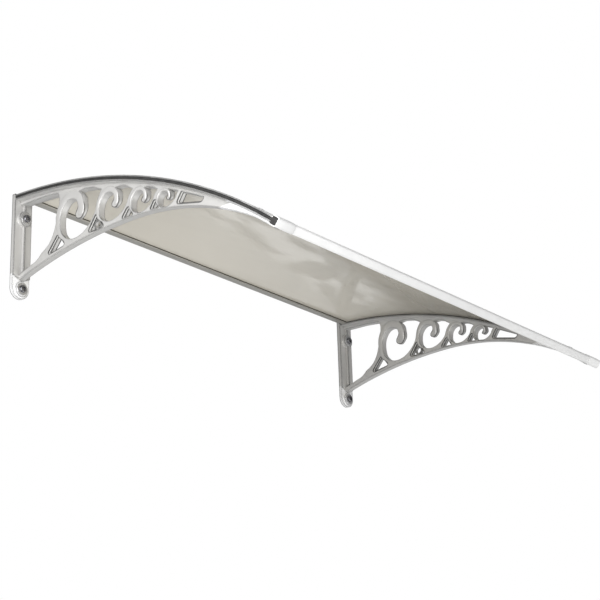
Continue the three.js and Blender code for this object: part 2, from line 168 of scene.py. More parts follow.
def mesh_object(name, vertices, faces, smooth_angle=32.0):
    """A Blender object from points in millimetres and arrays of faces, facing outwards."""
    if signed_volume(vertices, faces) < 0:
        faces = [face_set[:, ::-1] for face_set in faces]
    mesh = bpy.data.meshes.new(name)
    mesh.from_pydata((vertices * MM).tolist(), [], [f for face_set in faces for f in face_set.tolist()])
    mesh.validate()
    made = bpy.data.objects.new(name, mesh)
    bpy.context.scene.collection.objects.link(made)
    smooth(made, smooth_angle)
    return made


def smooth(piece, angle):
    """Smooth shading that breaks at edges sharper than the angle."""
    mesh = piece.data
    mesh.polygons.foreach_set("use_smooth", np.ones(len(mesh.polygons), bool))
    mesh.set_sharp_from_angle(angle=math.radians(angle))
    mesh.update()


# %% [markdown]
# Outlines
#
# An outline is a closed loop of points. The sign of its area tells which way round it runs, and
# so on which side the material lies. Outer loops run one way and holes the other.

# %% Loops
def signed_area(loop):
    """Half the sum of x_i * y_(i+1) - x_(i+1) * y_i round a closed loop."""
    after = np.roll(loop, -1, axis=0)
    return 0.5 * np.sum(loop[:, 0] * after[:, 1] - after[:, 0] * loop[:, 1])


def cleaned(loop, least=0.02):
    """The loop without points that lie closer than least to the one before."""
    gap = np.linalg.norm(loop - np.roll(loop, 1, axis=0), axis=1)
    return loop[gap > least]


def inward(loop):
    """Directions into the material on the left of a loop, long enough to keep corners true.

    At each point it is the sum of the unit normals of the two edges, over 1 plus their product.
    """
    edge = np.roll(loop, -1, axis=0) - loop
    edge /= np.linalg.norm(edge, axis=1)[:, None]
    normal = np.stack([-edge[:, 1], edge[:, 0]], -1)
    before = np.roll(normal, 1, axis=0)
    scale = np.maximum(1 + np.sum(normal * before, axis=1), 0.6)
    return (normal + before) / scale[:, None]


def fill(loops):
    """Triangles of the flat area between an outer loop and its holes, turned as the outer loop is."""
    flat = np.concatenate(loops)
    made = tessellate_polygon([[Vector((u, v, 0.0)) for u, v in loop] for loop in loops])
    triangles = np.array([list(t) for t in made])
    a, b, c = (flat[triangles[:, k]] for k in range(3))
    area = (b[:, 0] - a[:, 0]) * (c[:, 1] - a[:, 1]) - (c[:, 0] - a[:, 0]) * (b[:, 1] - a[:, 1])
    return triangles if area.sum() > 0 else triangles[:, ::-1]


# %% [markdown]
# One tool for most pieces: a slab with rounded edges
#
# A plate, a rail, a gasket and the scrollwork are all an outline, perhaps with holes, carried
# along a line. Real edges are never knife sharp, so the outline is drawn in by the corner radius
# at both ends and swells to its full size along a quarter circle. The flat ends are filled by
# triangles between the loops.

# %% Slab
def slab(name, outer, holes, span, place, edges=(1.0, 1.0), stations=2, round_steps=5, flare=0.0):
    """An outline carried from span[0] to span[1], with its end edges rounded by quarter circles.

    At turn t of the quarter the outline is drawn in by radius * (1 - sin t) and lies
    radius * (1 - cos t) inside the end; place turns (u, v, w) into (x, y, z). A slab with a flare
    is a cutter: it swells out by the same amounts instead, and runs on past both ends, so that
    the opening it cuts has rounded edges.
    """
    loops = [outer if signed_area(outer) > 0 else outer[::-1]]
    loops += [hole if signed_area(hole) < 0 else hole[::-1] for hole in holes]
    loops = [cleaned(loop) for loop in loops]
    low, high = span
    turn = np.linspace(0, math.pi / 2, round_steps + 1)
    top_draw, top_w = edges[1] * (1 - np.sin(turn)), high - edges[1] * (1 - np.cos(turn))
    low_draw, low_w = edges[0] * (1 - np.sin(turn[::-1])), low + edges[0] * (1 - np.cos(turn[::-1]))
    plain_w = np.linspace(high - edges[1], low + edges[0], stations)[1:-1]
    draw = np.concatenate([top_draw, np.zeros(len(plain_w)), low_draw])
    height = np.concatenate([top_w, plain_w, low_w])
    if flare:
        draw = -np.concatenate([draw[:1], draw, draw[-1:]])
        height = np.concatenate([[high + flare], height, [low - flare]])
    points, walls, start = [], [], 0
    for loop in loops:
        rows = loop[None] + draw[:, None, None] * inward(loop)[None]
        w = np.broadcast_to(height[:, None], rows.shape[:2])
        points.append(place(rows[..., 0], rows[..., 1], w).reshape(-1, 3))
        walls.append(grid_faces(len(height), len(loop)) + start)
        start += len(height) * len(loop)
    ends = fill([loop + draw[0] * inward(loop) for loop in loops])
    offsets = np.cumsum([0] + [len(height) * len(loop) for loop in loops[:-1]])
    first_row = np.concatenate([offset + np.arange(len(loop)) for offset, loop in zip(offsets, loops)])
    to_last = np.concatenate([np.full(len(loop), (len(height) - 1) * len(loop)) for loop in loops])
    faces = [*walls, first_row[ends], (first_row + to_last)[ends][:, ::-1]]
    return mesh_object(name, np.concatenate(points), faces)


# %% [markdown]
# Placing a drawing
#
# A side view stands square to the wall, a front view lies on the wall, and a section can also be
# bent over the arch. Each helper below takes points of a drawing and gives points in space.

# %% Places
def across(d, z, w):
    """Places a side view: (d, z, w) becomes x = w, y = -d, z."""
    return np.stack([w, -d, z], -1)


def outward(x_shift=0.0, z_shift=0.0):
    """Places a front view: (x, z, w) becomes x, y = -w, z, so w is the distance from the wall."""
    return lambda x, z, w: np.stack([x + x_shift, -w, z + z_shift], -1)


def over_arch(x_shift=0.0):
    """Bends a section over the arch: (x, radius, w), with w an angle times the arch's radius."""
    def place(x, radius, w):
        angle = w / sheet_middle
        side = arch_point(radius, angle)
        return np.stack([x + x_shift, -side[..., 0], side[..., 1]], -1)
    return place


# %% [markdown]
# Turned pieces
#
# Bolts, washers, screws and bosses are round. Each is a profile turned about its axis, as on a
# lathe, and the points that fall together on the axis are then joined into one.

# %% Turned pieces
def turned(name, profile, place, steps=48, smooth_angle=32.0):
    """A profile of (r, h) turned about its axis: u = r cos t, v = r sin t, w = h, then placed."""
    profile = np.asarray(profile, float)
    turn = np.linspace(0, 2 * math.pi, steps, endpoint=False)
    u = profile[:, :1] * np.cos(turn)
    v = profile[:, :1] * np.sin(turn)
    w = np.broadcast_to(profile[:, 1:], u.shape)
    vertices = place(u, v, w).reshape(-1, 3)
    made = mesh_object(name, vertices, [grid_faces(len(profile), steps)], smooth_angle)
    shell = bmesh.new()
    shell.from_mesh(made.data)
    bmesh.ops.remove_doubles(shell, verts=shell.verts, dist=1e-7)
    shell.to_mesh(made.data)
    shell.free()
    smooth(made, smooth_angle)
    return made


# %% [markdown]
# Joining and cutting
#
# A casting is one skin. Its plate, web, flange and bosses are made apart, because each is simple
# by itself, and a Boolean then leaves only the outer skin. The same tool cuts the openings of the
# web, the bolt holes and the recesses in the heads of bolts and screws.

# %% Boolean helper
def combined(base, others, operation="UNION", smooth_angle=32.0):
    """The base joined with or cut by the others, as one new mesh; the others are then deleted."""
    for other in others:
        step = base.modifiers.new("step", "BOOLEAN")
        step.operation = operation
        step.solver = "MANIFOLD"
        step.object = other
    result = bpy.data.meshes.new_from_object(base.evaluated_get(bpy.context.evaluated_depsgraph_get()))
    base.modifiers.clear()
    base.data = result
    for other in others:
        bpy.data.objects.remove(other)
    smooth(base, smooth_angle)
    return base


def moved_copy(piece, name, x=0.0):
    """A copy moved along X in its mesh."""
    mesh = piece.data.copy()
    mesh.transform(Matrix.Translation((x * MM, 0, 0)))
    made = bpy.data.objects.new(name, mesh)
    bpy.context.scene.collection.objects.link(made)
    return made


def dress(piece, finish, slot_name, *nodes):
    """Gives a piece its finish, and lets it stand for the frame's nodes."""
    piece.data.materials.clear()
    piece.data.materials.append(finish)
    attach(piece, "root")
    if nodes:
        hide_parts(*nodes)
    print(f"{piece.name}: {len(piece.data.polygons)} faces")


# %% [markdown]
# Finishes
#
# Each finish is a small tree of nodes that reads Object coordinates, which are metres in this
# frame, so a noise of scale 500 has grains about two millimetres across. Colour, roughness and
# bump each get their own variation, because a surface that varies in one of them only looks
# printed.

# %% Material helpers
def new_material(name, roughness, metallic=0.0, **constants):
    """A material with its shader's plain values set on the shader itself."""
    made = bpy.data.materials.new(name)
    made.use_nodes = True
    shader = made.node_tree.nodes["Principled BSDF"]
    shader.inputs["Roughness"].default_value = roughness
    shader.inputs["Metallic"].default_value = metallic
    for socket, value in constants.items():
        shader.inputs[socket].default_value = value
    print(f"{name}: roughness about {roughness}, metallic {metallic}")
    return made, made.node_tree, shader


def node(tree, kind, **inputs):
    """A new node. Each input gets a plain value, or is linked when it is given another's output."""
    made = tree.nodes.new("ShaderNode" + kind)
    for name, value in inputs.items():
        socket = made.inputs[name.replace("_", " ")]
        if isinstance(value, bpy.types.NodeSocket):
            tree.links.new(value, socket)
        else:
            socket.default_value = value
    return made


def object_noise(tree, scale, detail=3.0, stretch=(1, 1, 1), roughness=0.5):
    """Noise over Object coordinates; stretch makes it finer along an axis."""
    mapping = node(tree, "Mapping", Vector=node(tree, "TexCoord").outputs["Object"], Scale=stretch)
    return node(tree, "TexNoise", Vector=mapping.outputs["Vector"], Scale=scale, Detail=detail,
                Roughness=roughness).outputs["Fac"]


def colour_between(tree, factor, shader, dark, light, low=0.35, high=0.65):
    """Base colour that goes from dark to light as the factor goes from low to high."""
    ramp = node(tree, "ValToRGB", Fac=factor)
    for element, at, colour in zip(ramp.color_ramp.elements, (low, high), (dark, light)):
        element.position, element.color = at, (*colour, 1)
    tree.links.new(ramp.outputs["Color"], shader.inputs["Base Color"])


def ranged(tree, value, start, end, low=0.0, high=1.0, interpolation="LINEAR"):
    """A value that goes from low to high as another goes from start to end."""
    ramp = node(tree, "MapRange", Value=value, From_Min=start, From_Max=end, To_Min=low, To_Max=high)
    ramp.interpolation_type = interpolation
    return ramp.outputs["Result"]


def worked_out(tree, operation, a, b):
    """Two values joined by one step of arithmetic."""
    joined = node(tree, "Math")
    joined.operation = operation
    tree.links.new(a, joined.inputs[0])
    tree.links.new(b, joined.inputs[1])
    return joined.outputs["Value"]


def roughness_between(tree, factor, shader, smoothest, roughest):
    """Roughness that varies between two values as the factor goes from 0.3 to 0.7."""
    tree.links.new(ranged(tree, factor, 0.3, 0.7, smoothest, roughest), shader.inputs["Roughness"])


def bump(tree, factor, shader, depth_mm, strength=1.0):
    """Bump of that many millimetres from black to white."""
    relief = node(tree, "Bump", Height=factor, Strength=strength, Distance=depth_mm * MM)
    tree.links.new(relief.outputs["Normal"], shader.inputs["Normal"])


# %% [markdown]
# Fine dark lines are painted along the casting's edges and into its creases. This is painted
# shade: it stands in for the dark that the edges reflect and the shade in the creases. An
# occlusion node that looks into the metal finds the edges, because its short rays leave the
# solid there; one that looks outwards finds the creases.

# %% Painted shade on edges and creases
def edge_factor(tree, distance_mm, inside):
    """1 on open surface, falling towards 0 where rays of that length meet a wall."""
    occlusion = node(tree, "AmbientOcclusion", Distance=distance_mm * MM)
    occlusion.samples, occlusion.inside, occlusion.only_local = 8, inside, True
    return occlusion.outputs["AO"]


def blended(tree, shader, kind):
    """A Mix node set between the base colour so far and the shader."""
    blend = node(tree, "Mix")
    blend.data_type, blend.blend_type = "RGBA", kind
    tree.links.new(shader.inputs["Base Color"].links[0].from_socket, blend.inputs["A"])
    tree.links.new(blend.outputs["Result"], shader.inputs["Base Color"])
    return blend


def darken_by(tree, shader, factor, least, low, high):
    """Multiplies the base colour by a value that rises from least to 1 with the factor."""
    blend = blended(tree, shader, "MULTIPLY")
    blend.inputs["Factor"].default_value = 1.0
    tree.links.new(ranged(tree, factor, low, high, least), blend.inputs["B"])


# %% [markdown]
# The cast brackets are painted silver grey. Paint fills the pores of the casting, so what is left
# is a soft, shallow grain under a satin film. Its colour hardly changes, and only over a hand's
# breadth; the metal flakes in the paint make it reflect a little like metal.

# %% Silver-grey paint on cast metal
cast_paint, tree, shader = new_material("silver_grey_cast_paint", 0.36, 0.3)
colour_between(tree, object_noise(tree, 9, 2), shader, (0.50, 0.495, 0.485), (0.545, 0.54, 0.525))
roughness_between(tree, object_noise(tree, 180, 3), shader, 0.32, 0.42)
bump(tree, object_noise(tree, 520, 4, roughness=0.6), shader, 0.05, 0.5)

# %% [markdown]
# The flat foot below the raised panel is painted nearly white. This is painted light: it stands
# in for the light that reaches the foot below the canopy's shade. Where it begins is read from
# the place on the casting: everything below the panel's point, and above that only the thin
# layer of the plate that the panel leaves bare.

# %% Painted light on the foot
foot_painted_light = (0.86, 0.86, 0.86, 1)
spot = node(tree, "SeparateXYZ", Vector=node(tree, "TexCoord").outputs["Object"])
point_z, panel_end_z, plate_y = -(panel_height + panel_point), -panel_height, -plate_thickness
below_point = ranged(tree, spot.outputs["Z"], (point_z + 0.2) * MM, (point_z - 1.6) * MM)
low_on_plate = ranged(tree, spot.outputs["Z"], (panel_end_z + 5) * MM, (panel_end_z + 1) * MM)
thin_layer = ranged(tree, spot.outputs["Y"], (plate_y - 0.6) * MM, (plate_y - 0.2) * MM)
beside_panel = worked_out(tree, "MULTIPLY", low_on_plate, thin_layer)
# painted light: the foot is blended towards near white
foot = blended(tree, shader, "MIX")
foot.inputs["B"].default_value = foot_painted_light
tree.links.new(worked_out(tree, "MAXIMUM", below_point, beside_panel), foot.inputs["Factor"])
print(f"the foot is white below {point_z:.0f} mm")

# %% [markdown]
# The painted shade lines come last, so that they also run round the painted light on the foot.
# Those on the edges are strong and narrow, those in the creases faint.

# %% Painted shade on the casting's edges and creases
edge_reach = 3.0
# painted shade: dark lines along the edges, for their dark reflections
darken_by(tree, shader, edge_factor(tree, edge_reach, True), 0.1, 0.68, 0.97)
# painted shade: faint darkening in the creases
darken_by(tree, shader, edge_factor(tree, edge_reach, False), 0.87, 0.3, 0.9)
print(f"edges and creases looked for within {edge_reach:.0f} mm")

# %% [markdown]
# The sheet is tinted acrylic. It is smooth and glossy, but never perfectly flat: a very slow
# waviness from forming breaks long reflections. Some light passes, so what lies behind it shows
# faintly.

# %% Tinted sheet
tinted_sheet, tree, shader = new_material("tinted_glossy_sheet", 0.08, 0.0, Alpha=0.82)
colour_between(tree, object_noise(tree, 2.2, 1), shader, (0.74, 0.70, 0.605), (0.80, 0.76, 0.665))
roughness_between(tree, object_noise(tree, 14, 2), shader, 0.05, 0.10)
bump(tree, object_noise(tree, 5, 1, stretch=(1, 3, 3)), shader, 1.0, 0.5)

# %% [markdown]
# The rubber is black, matt and slightly dusty; the dust shows as faint lighter patches.

# %% Black rubber
rubber, tree, shader = new_material("black_rubber", 0.68)
colour_between(tree, object_noise(tree, 60, 4), shader, (0.012, 0.012, 0.012), (0.028, 0.027, 0.026))
roughness_between(tree, object_noise(tree, 300, 2), shader, 0.55, 0.78)
bump(tree, object_noise(tree, 900, 2), shader, 0.05, 0.4)

# %% [markdown]
# Aluminium that was brushed along its length has grain lines far longer than they are wide. The
# noise is stretched so: hardly any change along the arch, quick change across it.

# %% Brushed aluminium
brushed, tree, shader = new_material("brushed_aluminium", 0.34, 0.9, Anisotropic=0.4)
lines = object_noise(tree, 60, 4, stretch=(30, 0.6, 0.6))
colour_between(tree, lines, shader, (0.55, 0.55, 0.545), (0.66, 0.66, 0.65))
roughness_between(tree, lines, shader, 0.28, 0.42)
bump(tree, lines, shader, 0.02, 0.5)

# %% [markdown]
# White powder coat melts into a hard skin with a faint orange-peel ripple a millimetre or two
# across.

# %% White powder coat
white_coat, tree, shader = new_material("white_powder_coat", 0.36)
colour_between(tree, object_noise(tree, 18, 3), shader, (0.76, 0.76, 0.755), (0.80, 0.80, 0.795))
roughness_between(tree, object_noise(tree, 120, 2), shader, 0.3, 0.42)
bump(tree, object_noise(tree, 650, 2), shader, 0.06, 0.5)

# %% [markdown]
# The wall rail is anodised: a thin, even film that keeps the sheen of the drawn metal under it,
# with the faint long lines of the die.

# %% Anodised metal
anodised, tree, shader = new_material("satin_anodised_rail", 0.38, 0.75)
lines = object_noise(tree, 60, 3, stretch=(0.5, 30, 30))
colour_between(tree, lines, shader, (0.42, 0.41, 0.38), (0.52, 0.51, 0.48))
roughness_between(tree, lines, shader, 0.32, 0.46)
bump(tree, lines, shader, 0.02, 0.4)

# %% [markdown]
# The bolts are dark zinc and the washers bright zinc: both are plated steel, with a mottle that
# comes from the plating bath.

# %% Plated steel
dark_zinc, tree, shader = new_material("dark_zinc_plate", 0.3, 0.9)
colour_between(tree, object_noise(tree, 250, 4), shader, (0.13, 0.13, 0.14), (0.24, 0.24, 0.25))
roughness_between(tree, object_noise(tree, 500, 3), shader, 0.14, 0.3)
bump(tree, object_noise(tree, 1500, 2), shader, 0.02, 0.4)

bright_zinc, tree, shader = new_material("bright_zinc_plate", 0.3, 0.9)
colour_between(tree, object_noise(tree, 250, 4), shader, (0.46, 0.46, 0.465), (0.58, 0.58, 0.585))
roughness_between(tree, object_noise(tree, 500, 3), shader, 0.26, 0.46)
bump(tree, object_noise(tree, 1500, 2), shader, 0.02, 0.4)

# %% [markdown]
# Scroll openings
#
# Between arm and flange the web is cut out in a row of scrolls. Each opening is a round bay into
# which a strap curls, with a fan of space over the strap's back. It is drawn once, about the
# bay's middle, through a few points joined by a smooth curve, and each scroll down the arm is a
# smaller, more tilted copy.

# %% Curves
def spline(points, steps):
    """A cubic between neighbours; its slope at each point is half the step between those beside it."""
    points = np.asarray(points, float)
    place = np.linspace(0, len(points) - 1, steps + 1)
    i = np.minimum(place.astype(int), len(points) - 2)
    t = (place - i)[:, None]
    before, start, end, after = (points[np.clip(i + k, 0, len(points) - 1)] for k in (-1, 0, 1, 2))
    slope_start, slope_end = (end - before) / 2, (after - start) / 2
    return ((2 * start - 2 * end + slope_start + slope_end) * t ** 3
            + (3 * end - 3 * start - 2 * slope_start - slope_end) * t ** 2 + slope_start * t + start)


def bend(start, corner, end, steps=10):
    """A parabola from start to end, pulled towards the corner: (1-t)^2 a + 2t(1-t) b + t^2 c."""
    t = np.linspace(0, 1, steps + 1)[:, None]
    start, corner, end = (np.asarray(p, float) for p in (start, corner, end))
    return (1 - t) ** 2 * start + 2 * t * (1 - t) * corner + t ** 2 * end


def straight(start, end, steps):
    """Points on the straight line from start to end, the last one left out."""
    t = np.linspace(0, 1, steps, endpoint=False)[:, None]
    return np.asarray(start, float) * (1 - t) + np.asarray(end, float) * t


def cornered(corners, radius, steps=8):
    """A closed outline whose corners are each replaced by a parabola of about that radius."""
    corners = np.asarray(corners, float)
    parts = []
    for before, corner, after in zip(np.roll(corners, 1, 0), corners, np.roll(corners, -1, 0)):
        ends = []
        for other in (before, after):
            reach = np.linalg.norm(other - corner)
            ends.append(corner + (other - corner) / reach * min(radius, reach / 2.5))
        parts.append(bend(ends[0], corner, ends[1], steps))
    return np.concatenate(parts)


# %% [markdown]
# The points of a scroll are in units of its bay's radius. Level and fill are shares of the web's
# depth at its place, stretch widens it and tilt turns it forward. The five small openings are
# given by their corners.

# %% The openings of the web
bay_and_strap = [
    (1.44, 0.76), (1.2, 0.36), (1.06, -0.16), (0.78, -0.56), (0.36, -0.87), (-0.16, -0.99),
    (-0.64, -0.85), (-0.94, -0.5), (-1.03, 0.04), (-0.94, 0.48), (-0.68, 0.79), (-0.36, 0.85),
    (-0.06, 0.7), (0, 0.44), (-0.17, 0.16), (-0.14, -0.05), (0.14, -0.12), (0.36, 0.12),
    (0.39, 0.4), (0.28, 0.76), (0.04, 1.06)]
fan_over_strap = [(0.04, 1.06), (0.3, 1.1), (0.58, 1.13), (0.9, 1.05), (1.18, 0.88), (1.44, 0.76)]
scrolls = [
    {"reach": 190, "level": 0.518, "fill": 0.396, "stretch": 1, "tilt": 0},
    {"reach": 296.3, "level": 0.523, "fill": 0.372, "stretch": 1.09, "tilt": 8},
    {"reach": 381.3, "level": 0.559, "fill": 0.38, "stretch": 1.12, "tilt": 11},
    {"reach": 451, "level": 0.548, "fill": 0.38, "stretch": 1.25, "tilt": 9.3}]
under_scrolls = [
    [(133, 0.725), (105, 0.921), (150, 0.915)],
    [(249, 0.651), (228, 0.916), (268, 0.947)],
    [(342, 0.704), (327, 0.947), (354, 0.98)],
    [(418, 0.626), (408, 0.931), (427, 0.956)]]
front_opening = [(495, 0.169), (482, 0.774), (545, 0.574), (551, 0.22)]
ring_centre = (249.5, 0.836)


def in_scroll(drawn, reach, level, fill, stretch, tilt):
    """Drawn points, stretched along, scaled to a share of the web's depth, tilted and placed."""
    size = fill * (arch_z(flange_bottom, reach) - arm_z(reach))
    turn = math.radians(-tilt)
    rotation = np.array([[math.cos(turn), -math.sin(turn)], [math.sin(turn), math.cos(turn)]])
    return (drawn * (stretch, 1) * size) @ rotation.T + between([(reach, level)])[0]


def scroll_opening(**scroll):
    """A bay with its strap, closed over the top by the fan."""
    drawn = np.concatenate([spline(bay_and_strap, 130)[:-1], spline(fan_over_strap, 36)[:-1]])
    return in_scroll(drawn, **scroll)


def wall_opening():
    """The large opening beside the plate: straight under the flange, then round the first strap."""
    inside_plate = plate_thickness / 2
    start, top = between([(inside_plate, 0.048), (118, 0.02)])
    corner, after = between([(132, 0.014), (133.5, 0.142)])
    side = between([(133.5, 0.142), (131.5, 0.281), (126, 0.447), (117.5, 0.634), (105, 0.764),
                    (91, 0.822)])
    foot, foot_corner, heel = between([(79, 0.849), (68, 0.919), (50, 0.916)])
    end = between([(inside_plate, 0.936)])[0]
    return np.concatenate([
        straight(start, top, 20), bend(top, corner, after)[:-1], spline(side, 40)[:-1],
        straight(side[-1], foot, 3), bend(foot, foot_corner, heel), straight(heel, end, 8)[1:], [end]])


web_thickness, web_edge = 17.0, 2.1
wide_edge, narrow_edge, corner_radius = 2.0, 1.6, 4.0
pocket_web, pocket_margin, pocket_edge = 10.0, 3.0, 0.5
ring_radius, ring_bore_radius, ring_thickness, ring_edge = 11.0, 7.2, 9.0, 0.8
small_openings = [cornered(between(corners), corner_radius) for corners in [*under_scrolls, front_opening]]
openings = [(wall_opening(), wide_edge)] + [(scroll_opening(**one), wide_edge) for one in scrolls[:3]]
openings += [(scroll_opening(**scrolls[3]), narrow_edge)] + [(loop, narrow_edge) for loop in small_openings]
print(len(openings), "openings in the web,", sum(len(loop) for loop, _ in openings), "points round them")

# %% [markdown]
# Raised straps
#
# The strap round each bay is rounded and stands a little proud of the web, from the arm up over
# the bay to its free end, so a fine crease follows it, and its hanging end grows thinner like the
# tip of a horn. Its middle line and half width are drawn in the scroll's own units. The section is
# a shallow arch on either face of the web, with straight sides between, and both ends are closed.

# %% Straps
strap_path = [
    (-0.70, -0.93, 0.09), (-1.05, -0.56, 0.12), (-1.17, 0.04, 0.135), (-1.09, 0.54, 0.155),
    (-0.78, 0.95, 0.18), (-0.34, 1.06, 0.2), (0.08, 0.84, 0.19), (0.195, 0.42, 0.18),
    (0.13, 0.16, 0.19), (0.03, 0.03, 0.17)]
strap_rise, strap_sink, face_points = 2.0, 0.3, 13
taper_top, taper_rate = 0.85, 0.65
taper_corners = np.array([(-0.5, -0.45), (0.62, -0.45), (0.62, taper_top), (-0.5, taper_top)])


def thickness_share(level):
    """Share of the web's thickness left at a level of the hanging end: 1 - rate * (top - level)."""
    return 1 - taper_rate * (taper_top - level)


def taper_cutter(side, reach, level, fill, stretch, tilt):
    """A block over one face of the hanging end, whose inner face follows the thinning."""
    corners = taper_corners[::side]
    flat = in_scroll(corners, reach, level, fill, stretch, tilt)
    inner = web_thickness / 2 * thickness_share(corners[:, 1])
    rows = np.stack([inner, np.full(4, web_thickness)])
    vertices = across(*(np.broadcast_to(flat[:, k], (2, 4)) for k in (0, 1)), side * rows).reshape(-1, 3)
    return mesh_object("taper", vertices, [grid_faces(2, 4), np.array([[0, 1, 2, 3], [7, 6, 5, 4]])])


def strap_body(reach, level, fill, stretch, tilt):
    """A bar along the path, whose face at s across it rises over the web.

    Its height is rise * sqrt(1 - (s / half width)^2) - sink. Both fall away towards the tip.
    """
    size = fill * (arch_z(flange_bottom, reach) - arm_z(reach))
    line = spline(strap_path, 72)
    middle = in_scroll(line[:, :2], reach, level, fill, stretch, tilt)
    along = np.gradient(middle, axis=0)
    along /= np.linalg.norm(along, axis=1)[:, None]
    across_line = np.stack([-along[:, 1], along[:, 0]], -1)
    travelled = np.concatenate([[0], np.cumsum(np.linalg.norm(np.diff(middle, axis=0), axis=1))])
    half = line[:, 2] * size
    to_tip = np.clip((travelled[-1] - travelled) / half[-1], 0, 1)
    half = half * np.maximum(np.sqrt(1 - (1 - to_tip) ** 2), 0.2)
    rise = strap_rise * np.clip(travelled / size, 0.05, 1) * np.maximum(np.sqrt(to_tip), 0.3)
    turn = np.linspace(0, math.pi, face_points)
    s = np.concatenate([np.cos(turn), -np.cos(turn)])
    past_top = np.arange(len(line)) > line[:, 1].argmax()
    hanging = np.where(past_top, np.minimum(line[:, 1], taper_top), taper_top)
    base = (web_thickness / 2 * thickness_share(hanging) - strap_sink)[:, None]
    lift = np.concatenate([np.sin(turn), -np.sin(turn)])
    side = np.repeat([1.0, -1.0], face_points)
    w = side * base + rise[:, None] * lift
    place = middle[:, None] + half[:, None, None] * s[None, :, None] * across_line[:, None]
    vertices = across(place[..., 0], place[..., 1], w).reshape(-1, 3)
    ring = np.arange(2 * face_points)
    ends = np.stack([ring, ring[::-1] + len(ring) * (len(line) - 1)])
    return mesh_object("strap", vertices, [grid_faces(len(line), len(ring)), ends])


print(f"{len(scrolls)} straps, each drawn through {len(strap_path)} points")


# %% [markdown]
# The bracket
#
# On the real bracket plate, web and flange are one casting. The web is the slab with all its
# openings, thinner round the small ones. A band under the flange and another along the arm close
# the openings that run out to the edges, and a small ring stands between the first two scrolls.

# %% Web
rim_depth, arm_depth = 5.5, 4.5
rail_depth, rail_nose, cap_growth = 17.0, 5.0, 0.9
stack_end = front_angle - (rail_depth - rail_nose + cap_growth + clearance) / sheet_middle
tip_reach = arch_centre[0] + flange_bottom * math.sin(stack_end) - flange_thickness
half_web = (-web_thickness / 2, web_thickness / 2)


def band(lower, upper):
    """A closed outline along one curve and back along another."""
    return np.concatenate([lower, upper[::-1]])


def made_web():
    """The web with its openings, the ring and the two bands, joined into one skin."""
    reach = np.linspace(plate_thickness / 2, tip_reach, 181)
    lower = np.stack([reach, arm_z(reach)], -1)
    hidden = np.stack([reach, arch_z(flange_bottom, reach) + flange_thickness * 0.8], -1)
    web = slab("web", band(lower, hidden), [], half_web, across, (web_edge, web_edge))
    cutters = [slab("opening", loop, [], half_web, across, (edge, edge), flare=1.0)
               for loop, edge in openings]
    for loop in small_openings:
        wide = loop + np.sign(-signed_area(loop)) * pocket_margin * inward(loop)
        for far in (-web_thickness, web_thickness):
            span = sorted([math.copysign(pocket_web / 2, far), far])
            cutters.append(slab("pocket", cleaned(wide), [], span, across, (pocket_edge, pocket_edge),
                                round_steps=2))
    cutters += [taper_cutter(side, **one) for one in scrolls for side in (-1, 1)]
    web = combined(web, cutters, "DIFFERENCE")
    turn = np.linspace(0, 2 * math.pi, 48, endpoint=False)
    circle = np.stack([np.cos(turn), np.sin(turn)], -1)
    middle = between([ring_centre])[0]
    ring = slab("ring", middle + ring_radius * circle, [middle + ring_bore_radius * circle],
                (-ring_thickness / 2, ring_thickness / 2), across, (ring_edge, ring_edge))
    angles = np.linspace(rear_angle, stack_end, 161)
    rim_outline = band(arch_point(flange_bottom - rim_depth, angles), arch_point(flange_top - 1, angles))
    rim = slab("rim", rim_outline, [], half_web, across, (web_edge, web_edge))
    reach = np.linspace(plate_thickness / 2, front_opening[2][0], 141)
    arm_outline = band(np.stack([reach, arm_z(reach)], -1), np.stack([reach, arm_z(reach, arm_depth)], -1))
    arm = slab("arm", arm_outline, [], half_web, across, (web_edge, web_edge))
    return combined(web, [ring, rim, arm, *(strap_body(**one) for one in scrolls)])


print(f"web {web_thickness:.0f} mm thick, ends {tip_reach:.1f} mm from the wall")


# %% [markdown]
# The plate lies flat on the wall, and its lower end is rounded off as the foot. A raised panel
# covers it down to a point. Under each bolt stands a round boss, coved at its root and crowned at
# its face, which spreads the load.

# %% Plate, panel and bosses
bolt_drops = {"upper": 55.9, "lower": 218.6}
bolt_radius, washer_thickness = 4.0, 2.0
boss_radius, boss_cove, boss_crown = 17.5, 1.6, 1.2
boss_faces = {"upper": plate_front + 8.5, "lower": plate_thickness + 4.0}


def made_plate():
    """The plate with its round foot, and the panel with its point."""
    half, turn = plate_width / 2, np.linspace(math.pi, 2 * math.pi, 41)
    foot = np.stack([half * np.cos(turn), half - plate_height + half * np.sin(turn)], -1)
    plate = slab("plate", np.concatenate([foot, [[half, 0.0], [-half, 0.0]]]), [], (0, plate_thickness),
                 outward(), (0.4, 1.6))
    panel_outline = np.array([[-half, 0.0], [-half, -panel_height], [0, -panel_height - panel_point],
                              [half, -panel_height], [half, 0.0]])
    return plate, slab("panel", panel_outline, [], (plate_thickness / 2, plate_front), outward(), (0.2, 1.2))


def boss_and_drill(level, drop):
    """A boss with a quarter circle at its root and another at its face, and the drill for its bolt."""
    face, root = boss_faces[level], plate_front if level == "upper" else plate_thickness
    wide, inside, bore = boss_radius + boss_cove, plate_thickness / 2, bolt_radius + clearance
    t = np.linspace(0, math.pi / 2, 6)
    profile = [(0, inside), (wide, inside), (wide, root)]
    profile += list(zip(boss_radius + boss_cove * (1 - np.sin(t)), root + boss_cove * (1 - np.cos(t))))
    profile += list(zip(boss_radius - boss_crown * (1 - np.cos(t)), face - boss_crown * (1 - np.sin(t))))
    boss = turned("boss", profile + [(0, face)], outward(0, -drop), 72)
    return boss, turned("drill", [(0, -2), (bore, -2), (bore, face + 2), (0, face + 2)], outward(0, -drop))


print(f"bolt holes {2 * (bolt_radius + clearance):.1f} mm wide")


# %% [markdown]
# A slim rib runs down the middle of the plate, and the curved flange on top carries the sheet.
# Everything is joined into one skin and then drilled. Both brackets are the same casting, so it
# is made once and copied to either side.

# %% The two brackets
rib_thickness, rib_height, rib_low = 4.5, 7.0, -181.0


